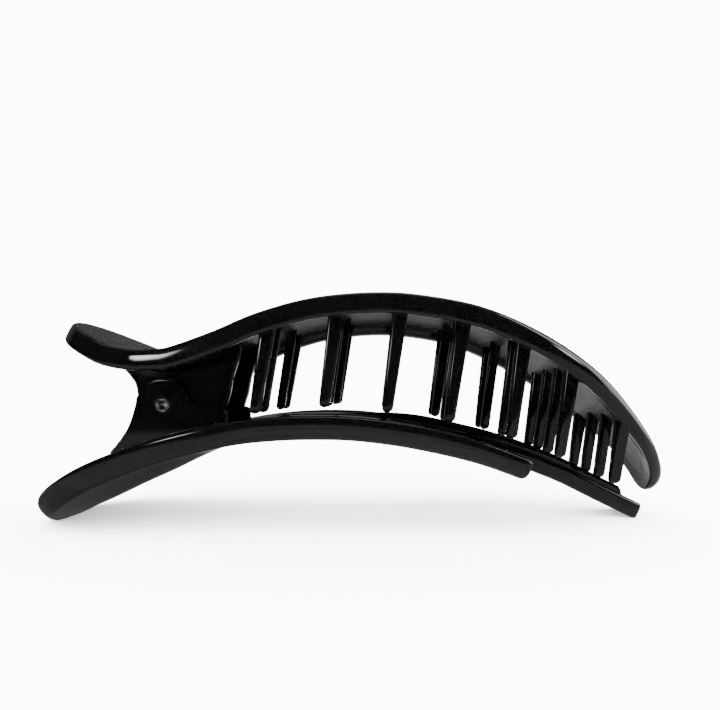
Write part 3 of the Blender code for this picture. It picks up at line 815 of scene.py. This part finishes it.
    def strip(self, line: SideLine, start_x: float, half: float, ends: Pair,
              thick_at: Callable[[Array], Array], middle: float, share: float = 1.0,
              steps: int = 110) -> Mesh:
        """A prong: the edge section carried round a narrow strip with round ends.

        Args:
            line: the prong's side line.
            start_x: where it starts inside the jaw.
            half: half width.
            ends: lengths of the round start and end.
            thick_at: thickness at a distance along the line.
            middle: how far across it lies.
            share: 1 for the large lower rounding, 0 for the tight one.
            steps: samples down a side.

        Returns:
            Points and quads.
        """
        start = float(line.s_at_x(start_x))
        a = np.linspace(0, np.pi / 2, 17)[1:]
        middle_s = line.length - start - ends[1]
        end = np.stack([middle_s + ends[1] * np.sin(a) ** 0.5, half * np.cos(a).clip(0) ** 0.5,
                        np.full_like(a, middle_s)], axis=1)
        outline = outline_of(line.length - start, lambda s: np.full_like(s, half), ends[0],
                             ends[1], steps, 10, end)
        outline = outline + np.array([start, 0.0, start])
        reach = np.hypot(outline[:, 0] - outline[:, 2], outline[:, 1])[:, None]
        thick = thick_at(outline[:, 2])[:, None]
        room = reach * 0.85 / (0.9 + 2.5 * share)
        d, h = self.edge_section(thick, np.minimum(1.0, room), np.full_like(reach, share))
        d = d / reach
        one = np.ones_like(reach)
        inward = np.hstack([one, d, 0.5 * (one + d[:, -1:]), one])
        height = np.hstack([-thick, h, 0 * one, 0 * one]) + self.proud
        height[:, :5] -= 2 * self.proud
        return sheet(line, outline, *soften(inward, height), middle)

    def outer_thick(self, s: Array) -> Array:
        """Thickness of an outer prong at a distance along it."""
        return self.thick - self.outer_thin * ease(self.line.x_at(s), 8, 26)

    def centre_thick(self, s: Array) -> Array:
        """Thickness of the centre prong at a distance along it."""
        share = ease(self.centre.x_at(s), 10, 54)
        return self.centre_root + (self.centre_tip - self.centre_root) * share

    def rib(self) -> Mesh:
        """Rounded rib on the centre prong, which rises slowly and ends in a short slope."""
        line = self.centre
        first, last = (float(line.s_at_x(x)) for x in self.rib_span)
        outline = outline_of(last - first, lambda s: np.full_like(s, self.rib_half), 1.25, 1.25,
                             110, 8) + np.array([first, 0.0, first])
        x = line.x_at(outline[:, 2])[:, None]
        top = self.rib_tall * ease(x, self.rib_span[0], 10.0) * (1 - ease(x, 50.6, 52.2)) - 0.05
        inward = np.tile([[1.0, 0.5, 0.0, 0.0, 0.0, 0.08, 0.4, 1.0]], (len(outline), 1))
        height = np.hstack([0 * top - 1.2] * 3 + [0 * top - 1.0, top - 0.7, top - 0.12, top, top])
        return sheet(line, outline, *soften(inward, height))

    def ear_outline(self) -> Array:
        """Side-view corners of an outer ear: round lobe, front arm, and its foot in the jaw."""
        hinge = self.hinge
        front = np.array([(-36.6, 23.9), (-31.6, 22.95), (-30.8, 22.7), (-30.4, 22.2),
                          (-30.4, 20.5)])
        x = np.linspace(-30.4, -53.0, 12)
        s = self.line.s_at_x(x)
        foot = self.line.lift(s, 0 * s, 0 * s - 3.4)
        left = np.array([(-53.2, 14.5), (-52.0, 15.6), (-51.0, 16.9), (-49.8, 18.75),
                         (-49.1, 20.4), (-48.6, 22.0), (-48.15, 23.65), (-47.9, 25.2)])
        return np.vstack([left, arc(hinge.x, hinge.z, self.lobe, 155, 8, 50), front,
                          foot[:, [0, 2]]])

    def build(self) -> list[bpy.types.Object]:
        """Makes the handle, prongs, rib and ears, which stand for the lower jaw."""
        parts: list[tuple[str, Mesh]] = [("lower_handle", self.handle())]
        middle = (self.half + self.outer_inner_y) / 2
        width = (self.half - self.outer_inner_y) / 2 + self.proud
        ends = (self.prong_start, self.prong_end)
        for side, word in ((-1, "near"), (1, "far")):
            parts.append((f"outer_prong_{word}", self.strip(
                self.line, self.prong_start_x, width, ends, self.outer_thick, side * middle)))
            parts.append((f"lower_ear_{word}", ear_mesh(
                self.hinge, self.ear_outline(), side * self.hinge.lower_y)))
        parts.append(("centre_prong", self.strip(
            self.centre, self.centre_start_x, self.centre_half, ends, self.centre_thick, 0.0,
            0.25, 150)))
        parts.append(("centre_rib", self.rib()))
        pieces = []
        for name, (verts, faces) in parts:
            verts = verts.reshape(-1, 3)
            verts[:, 2] = np.maximum(verts[:, 2], 0.0)
            piece = make_piece(name, verts, faces, self.finish, Half.LOWER, Slot.PLASTIC)
            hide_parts("lower_jaw")
            LOG.info("%s: %d faces", name, len(piece.data.polygons))
            pieces.append(piece)
        return pieces


@dataclass
class HingeFittings:
    """The steel pin and the wound spring round it.

    Attributes:
        coil, wire, coil_half: radii of the coil and the wire, and half the coil's length.
        leg_x, leg_room: where the lower leg ends in x, and the wire's room to a handle.
        upper_room: further room under the upper handle.
    """

    finish: bpy.types.Material
    pin_finish: bpy.types.Material
    hinge: HingeSizes
    coil: float = 2.4
    wire: float = 0.6
    coil_half: float = 4.05
    turns: int = 6
    leg_x: float = -57.5
    leg_room: float = 0.3
    upper_room: float = 0.15
    pin_sides: int = 48
    wire_sides: int = 16

    def pin(self) -> Mesh:
        """Turned rod: radius against distance across, with a blind hole and a lip at each end."""
        h, r = self.hinge.pin_half, self.hinge.pin
        y = np.array([1.5, 1.5, 1.4, 0.1, -0.12, -0.26, -0.33, -0.3, -0.22, -0.12, 0.03, 0.2, h]) - h
        radius = np.array([0.0, 0.74, 0.8, 0.82, 0.92, 1.04, 1.16, 1.26, 1.31, 1.24, 1.02, r, r])
        y = np.concatenate([y, -y[-2::-1]])
        radius = np.concatenate([radius, radius[-2::-1]])
        a = 2 * np.pi * np.arange(self.pin_sides) / self.pin_sides
        verts = np.stack([self.hinge.x + radius[:, None] * np.cos(a),
                          np.repeat(y[:, None], self.pin_sides, axis=1),
                          self.hinge.z + radius[:, None] * np.sin(a)], axis=-1)
        return verts, tube_faces(len(y), self.pin_sides)

    def spring_path(self, low: Array, high: Array) -> Array:
        """Leg, coil and leg: two tangent lines joined by a helix about the pin.

        Args:
            low: side-view end of the leg on the lower handle.
            high: side-view end of the leg under the upper handle.

        Returns:
            Points of the wire's middle line.
        """
        centre = np.array([self.hinge.x, self.hinge.z])
        turn = [math.atan2(*(p - centre)[::-1]) for p in (low, high)]
        reach = [float(np.linalg.norm(p - centre)) for p in (low, high)]
        start = turn[0] + math.acos(self.coil / reach[0])
        end = turn[1] - math.acos(self.coil / reach[1])
        lack = start + 2 * math.pi * (self.turns - 1) - end
        end += 2 * math.pi * math.ceil(lack / (2 * math.pi))
        t = np.linspace(0, 1, 320)
        a = start + (end - start) * t
        coil = np.stack([centre[0] + self.coil * np.cos(a), -self.coil_half
                         + 2 * self.coil_half * t, centre[1] + self.coil * np.sin(a)], axis=1)
        leg_t = np.linspace(0, 1, 24, endpoint=False)[:, None]
        low3 = np.array([low[0], -self.coil_half, low[1]])
        high3 = np.array([high[0], self.coil_half, high[1]])
        first = low3 + (coil[0] - low3) * leg_t
        last = high3 + (coil[-1] - high3) * leg_t
        return np.vstack([first, coil, last[::-1]])

    def wire_mesh(self, path: Array) -> Mesh:
        """Round wire along a path: P + r (n cos a + b sin a), with closed ends."""
        step = np.gradient(path, axis=0)
        t = step / np.linalg.norm(step, axis=1)[:, None]
        n = np.cross(t, np.array([0.0, 1.0, 0.0]))
        n /= np.linalg.norm(n, axis=1)[:, None]
        b = np.cross(t, n)
        a = 2 * np.pi * np.arange(self.wire_sides) / self.wire_sides
        radius = np.full(len(path), self.wire)
        radius[[0, -1]] = 0.0
        radius[[1, -2]] = self.wire * 0.75
        path = path.copy()
        path[0], path[-1] = path[1], path[-2]
        path[[1, -2]] += 0.02 * np.stack([t[1], -t[-2]])
        ring = n[:, None] * np.cos(a)[None, :, None] + b[:, None] * np.sin(a)[None, :, None]
        verts = path[:, None] + radius[:, None, None] * ring
        return verts, tube_faces(len(path), self.wire_sides)

    def build(self, lower: LowerJaw, upper: UpperJaw) -> list[bpy.types.Object]:
        """Makes the pin and the spring, whose one leg follows each handle.

        Args:
            lower: the jaw under the lower leg.
            upper: the jaw over the upper leg.

        Returns:
            The two pieces.
        """
        verts, faces = self.pin()
        pin = make_piece("pin", verts, faces, self.pin_finish, Half.LOWER, Slot.STEEL)
        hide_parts("hinge_pin")
        clear = self.wire + self.leg_room
        s = lower.line.s_at_x(self.leg_x)
        low = lower.line.lift(s, 0.0, -lower.recess - 0.8 * lower.dome + clear)[[0, 2]]
        s = upper.line.s_at_x(self.leg_x + 1.0)
        high = upper.line.lift(s, 0.0, -upper.plate + float(upper.crown_at(s)) - clear
                               - self.upper_room)[[0, 2]]
        verts, faces = self.wire_mesh(self.spring_path(low, high))
        spring = make_piece("spring", verts, faces, self.finish, None, Slot.STEEL)
        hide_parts("torsion_spring")
        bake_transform(spring)
        for piece in (pin, spring):
            LOG.info("%s: %d faces", piece.name, len(piece.data.polygons))
        return [pin, spring]


@dataclass
class Studio:
    """White table and cove, soft lights, and cards that only the gloss sees.

    Attributes:
        eye: place of the camera.
        focal_px, vanish, frame_px: focal length, vanishing point and frame in pixels.
    """

    floor_grey: float = 0.86
    floor_glow: float = 0.3
    world: float = 15.0
    eye: Triple = (5.275, -117.7, 26.0)
    focal_px: float = 544.0
    vanish: Pair = (380.0, 393.0)
    frame_px: Pair = (720.0, 710.0)
    sensor: float = 36.0

    def floor(self) -> None:
        """A floor that curves up behind, from one profile carried across."""
        a = np.linspace(0, np.pi / 2, 24)
        y = np.concatenate([[-4.0, 0.0], 2.0 + 1.5 * np.sin(a), [3.5]])
        z = np.concatenate([[0.0, 0.0], 1.5 - 1.5 * np.cos(a), [6.0]])
        x = np.linspace(-6, 6, 13)
        verts = np.stack([np.repeat(x, len(y)), np.tile(y, len(x)), np.tile(z, len(x))], axis=1)
        mesh = bpy.data.meshes.new("studio_floor")
        mesh.from_pydata(verts.tolist(), [], grid_faces(len(x), len(y), False).tolist())
        mesh.polygons.foreach_set("use_smooth", np.ones(len(mesh.polygons), bool))
        mat = bpy.data.materials.new("white_table")
        mat.use_nodes = True
        put(mat.node_tree.nodes["Principled BSDF"], {
            "Base Color": (*([self.floor_grey] * 3), 1.0), "Roughness": 0.85,
            "Specular IOR Level": 0.1, "Emission Color": WHITE,
            "Emission Strength": self.floor_glow})
        mesh.materials.append(mat)
        obj = link("studio_floor", mesh)
        obj.visible_glossy = False

    def card(self, name: str, centre: Triple, size: Pair,
             turn: Triple, level: float,
             fade: Triple | None = None) -> None:
        """A flat card that only reflections see.

        Args:
            name: the card's name.
            centre: its middle in metres.
            size: its two sides in metres.
            turn: its rotation in degrees.
            level: brightness, 0 for a dark card, or for a clear edge where it fades.
            fade: brightness in the middle, and the half axes in metres of the ellipse within
                which it changes to the level.
        """
        mesh = bpy.data.meshes.new(name)
        a, b = size[0] / 2, size[1] / 2
        mesh.from_pydata([(-a, -b, 0), (a, -b, 0), (a, b, 0), (-a, b, 0)], [], [(0, 1, 2, 3)])
        mat = bpy.data.materials.new(name)
        mat.use_nodes = True
        nodes, links = mat.node_tree.nodes, mat.node_tree.links
        glow = nodes.new("ShaderNodeEmission")
        put(glow, {"Color": WHITE, "Strength": level})
        if fade is not None:
            place = nodes.new("ShaderNodeTexCoord")
            squash = nodes.new("ShaderNodeMapping")
            put(squash, {"Scale": (1 / fade[1], 1 / fade[2], 1.0)})
            links.new(place.outputs["Object"], squash.inputs["Vector"])
            away = nodes.new("ShaderNodeVectorMath")
            away.operation = "LENGTH"
            links.new(squash.outputs["Vector"], away.inputs[0])
            ramp = nodes.new("ShaderNodeMapRange")
            ramp.interpolation_type = "SMOOTHSTEP"
            put(ramp, {"From Min": 0.2, "To Min": fade[0], "To Max": level})
            links.new(away.outputs["Value"], ramp.inputs["Value"])
            links.new(ramp.outputs["Result"], glow.inputs["Strength"])
        shine = glow.outputs["Emission"]
        if fade is not None and level == 0.0:
            both, clear = nodes.new("ShaderNodeAddShader"), nodes.new("ShaderNodeBsdfTransparent")
            links.new(shine, both.inputs[0])
            links.new(clear.outputs["BSDF"], both.inputs[1])
            shine = both.outputs["Shader"]
        links.new(shine, nodes["Material Output"].inputs["Surface"])
        mesh.materials.append(mat)
        obj = link(name, mesh)
        obj.location = centre
        obj.rotation_euler = tuple(math.radians(v) for v in turn)
        obj.visible_camera = False
        obj.visible_diffuse = False
        obj.visible_shadow = False
        obj.visible_transmission = False

    def lights(self) -> None:
        """Even white surroundings and one broad light from above."""
        world = bpy.data.worlds.new("studio")
        world.use_nodes = True
        put(world.node_tree.nodes["Background"], {"Color": WHITE, "Strength": self.world})
        bpy.context.scene.world = world
        lamp = bpy.data.lights.new("overhead", "AREA")
        lamp.shape = "RECTANGLE"
        lamp.size, lamp.size_y = 1.6, 1.2
        lamp.energy = 12.0
        obj = link("overhead", lamp)
        obj.location = (0.0, 0.1, 1.1)
        obj.visible_glossy = False

    def camera(self) -> None:
        """A level view straight across the clip, framed by lens shift alone."""
        data = bpy.data.cameras.new("camera")
        width, height = self.frame_px
        data.sensor_width = self.sensor
        data.lens = self.focal_px / width * self.sensor
        data.shift_x = (width / 2 - self.vanish[0]) / width
        data.shift_y = (self.vanish[1] - height / 2) / width
        data.clip_start = 0.005
        obj = link("camera", data)
        obj.location = tuple(v * MM for v in self.eye)
        obj.rotation_euler = (math.radians(90), 0.0, 0.0)
        bpy.context.scene.camera = obj

    def build(self) -> None:
        """Sets up the camera, the floor, the lights and the cards."""
        self.camera()
        self.floor()
        self.lights()
        self.card("dark_card", (0.0, -0.26, 0.75), (3.4, 1.5), (90, 0, 0), 0.0)
        self.card("back_card", (0.0, 0.4, 0.75), (3.4, 1.5), (90, 0, 0), 0.11)
        self.card("left_card", (-0.9, 0.07, 0.75), (0.7, 1.5), (90, 0, 90), 0.01)
        self.card("right_card", (0.9, 0.07, 0.75), (0.7, 1.5), (90, 0, 90), 4.0)
        self.card("front_table_card", (0.0, -0.145, -0.0006), (3.4, 0.25), (0, 0, 0), 0.5)
        self.card("back_table_card", (0.0, 0.19, -0.0005), (3.4, 0.42), (0, 0, 0), 0.65)
        # Painted shadow: the floor's contact shadow under the lower handle as the gloss sees it,
        # dark in the middle and fading out
        self.card("handle_shade_card", (-0.06, 0.03, -0.0003), (0.2, 0.2), (0, 0, 0), 0.65,
                  (0.07, 0.1, 0.1))
        self.card("ceiling_card", (0.0, 0.07, 1.5), (3.4, 0.8), (0, 0, 0), 0.35,
                  (1.6, 1.3, 0.38))
        self.card("window_card", (-0.140, -0.25, 0.062), (0.044, 0.046), (90, 0, 0), 0.0,
                  (34.0, 0.022, 0.023))
        self.card("soft_box_card", (0.05, -0.02, 0.7), (0.7, 0.36), (0, 0, 0), 0.0,
                  (3.5, 0.35, 0.18))
        self.card("shoulder_card", (0.42, -0.2, 0.22), (0.16, 0.16), (66, 0, 63), 0.0,
                  (16.0, 0.08, 0.08))


def main() -> None:
    """Builds the studio and the clip, and reports each piece."""
    logging.basicConfig(level=logging.INFO)
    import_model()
    Studio().build()
    plastic = GlossPlastic("gloss_black_plastic").build()
    satin = GlossPlastic("satin_black_plastic", base=(0.008, 0.008, 0.0084), smooth=0.3,
                         hazy=0.45).build()
    steel = DrawnSteel("drawn_steel").build()
    rod = DrawnSteel("browned_steel", bright=(0.72, 0.70, 0.67),
                     tarnish=(0.05, 0.043, 0.038)).build()
    hinge = HingeSizes()
    upper = UpperJaw(plastic, satin, hinge)
    lower = LowerJaw(plastic, hinge)
    upper.build()
    lower.build()
    HingeFittings(steel, rod, hinge).build(lower, upper)


if __name__ == "__main__":
    main()
